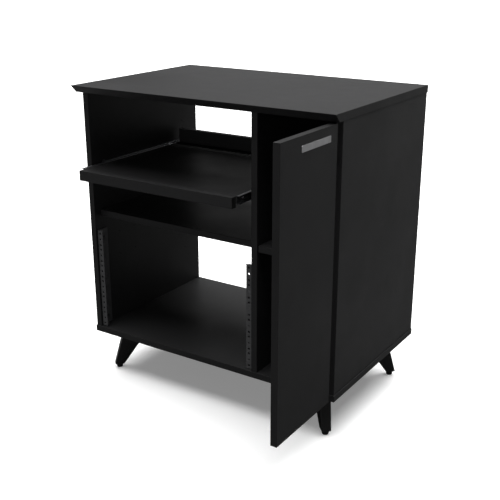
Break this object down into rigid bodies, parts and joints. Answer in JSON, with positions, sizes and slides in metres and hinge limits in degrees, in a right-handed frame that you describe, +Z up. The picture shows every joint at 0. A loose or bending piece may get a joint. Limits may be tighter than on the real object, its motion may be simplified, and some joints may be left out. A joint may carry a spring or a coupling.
{
  "type": "studio desk cabinet with keyboard tray",
  "caption": "Black studio desk cabinet on splayed legs with a pull-out keyboard tray, a shelf, a 19-inch rack bay and a side compartment behind a hinged door.",
  "frame": {"origin": "centre of the bounding box's floor face, with the tray partly out and the door open a quarter turn, as drawn", "axes": "+X to the right as seen from the front, +Y from the front to the back, +Z up"},
  "size_m": [0.73, 0.694, 0.784],
  "materials": {
    "black_laminate": "matte black melamine on particle board",
    "black_hardboard": "matte black painted hardboard",
    "black_leg_lacquer": "satin black lacquer on solid wood",
    "black_rubber": "matte",
    "black_steel": "dark grey powder coat",
    "black_screws": "black oxide",
    "black_cap_plastic": "matte black cover cap",
    "zinc_slide_steel": "bright zinc-plated cold-rolled steel",
    "cage_plastic": "moulded",
    "ball_steel": "polished",
    "zinc_screws": "zinc plated",
    "cam_zinc": "die-cast zinc",
    "beech": "raw beech",
    "nickel_steel": "nickel plated",
    "badge_aluminium": "satin anodised, blank"
  },
  "bodies": {
    "carcass": {"tabletop": "black_laminate", "left_side_panel": "black_laminate", "right_side_panel": "black_laminate", "divider_panel": "black_laminate", "bottom_panel": "black_laminate", "mid_shelf": "black_laminate", "compartment_shelf": "black_laminate", "compartment_back_panel": "black_hardboard", "shelf_pins": "zinc_screws", "dowels": "beech", "cam_locks": "cam_zinc", "cam_bolts": "zinc_screws", "cam_caps": "black_cap_plastic", "base_screws": "zinc_screws", "leg_front_left": "black_leg_lacquer", "leg_front_right": "black_leg_lacquer", "leg_rear_left": "black_leg_lacquer", "leg_rear_right": "black_leg_lacquer", "leg_bolts": "zinc_screws", "leg_dowels": "beech", "leg_inserts": "zinc_screws", "foot_glide_front_left": "black_rubber", "foot_glide_front_right": "black_rubber", "foot_glide_rear_left": "black_rubber", "foot_glide_rear_right": "black_rubber", "rack_rail_left": "black_steel", "rack_rail_right": "black_steel", "rack_rail_screws": "black_screws", "rack_nuts": "black_steel", "slide_outer_left": "zinc_slide_steel", "slide_outer_right": "zinc_slide_steel", "slide_panel_screws": "zinc_screws", "hinge_arm_lower": "nickel_steel", "hinge_arm_upper": "nickel_steel", "hinge_plate_lower": "nickel_steel", "hinge_plate_upper": "nickel_steel", "hinge_plate_screws": "nickel_steel", "hinge_arm_pins": "nickel_steel"},
    "tray": {"tray_board": "black_laminate", "tray_fascia": "black_laminate", "tray_rear_rail": "black_laminate", "tray_dowels": "beech", "tray_rail_screws": "zinc_screws", "slide_inner_left": "zinc_slide_steel", "slide_inner_right": "zinc_slide_steel", "slide_tray_screws": "zinc_screws"},
    "cage_left": {"ball_cage_left": "cage_plastic", "slide_balls_left": "ball_steel"},
    "cage_right": {"ball_cage_right": "cage_plastic", "slide_balls_right": "ball_steel"},
    "hinge_links": {"hinge_link_lower": "nickel_steel", "hinge_link_upper": "nickel_steel"},
    "door": {"door_panel": "black_laminate", "hinge_cup_lower": "nickel_steel", "hinge_cup_upper": "nickel_steel", "hinge_cup_pins": "nickel_steel", "hinge_cup_screws": "nickel_steel", "door_bumpers": "black_rubber", "door_badge": "badge_aluminium"}
  },
  "joints": [
    {"name": "tray_slide", "type": "slide", "parent": "carcass", "child": "tray", "axis": [0, -1, 0], "range_m": [-0.082, 0.198]},
    {"name": "left_cage_slide", "type": "slide", "parent": "carcass", "child": "cage_left", "axis": [0, -1, 0], "range_m": [-0.041, 0.099]},
    {"name": "right_cage_slide", "type": "slide", "parent": "carcass", "child": "cage_right", "axis": [0, -1, 0], "range_m": [-0.041, 0.099]},
    {"name": "hinge_link_pivot", "type": "hinge", "parent": "carcass", "child": "hinge_links", "pos_m": [0.33497, -0.10941, 0.4435], "axis": [0, 0, 1], "range_deg": [-4.14, 63.07]},
    {"name": "door_pivot", "type": "hinge", "parent": "hinge_links", "child": "door", "pos_m": [0.348, -0.1275, 0.4435], "axis": [0, 0, 1], "range_deg": [-153.05, 10]}
  ],
  "couplings": [
    {"joint": "left_cage_slide", "follows": "tray_slide", "ratio": 0.5},
    {"joint": "right_cage_slide", "follows": "tray_slide", "ratio": 0.5},
    {"joint": "hinge_link_pivot", "follows": "door_pivot", "ratio": -0.41194}
  ]
}
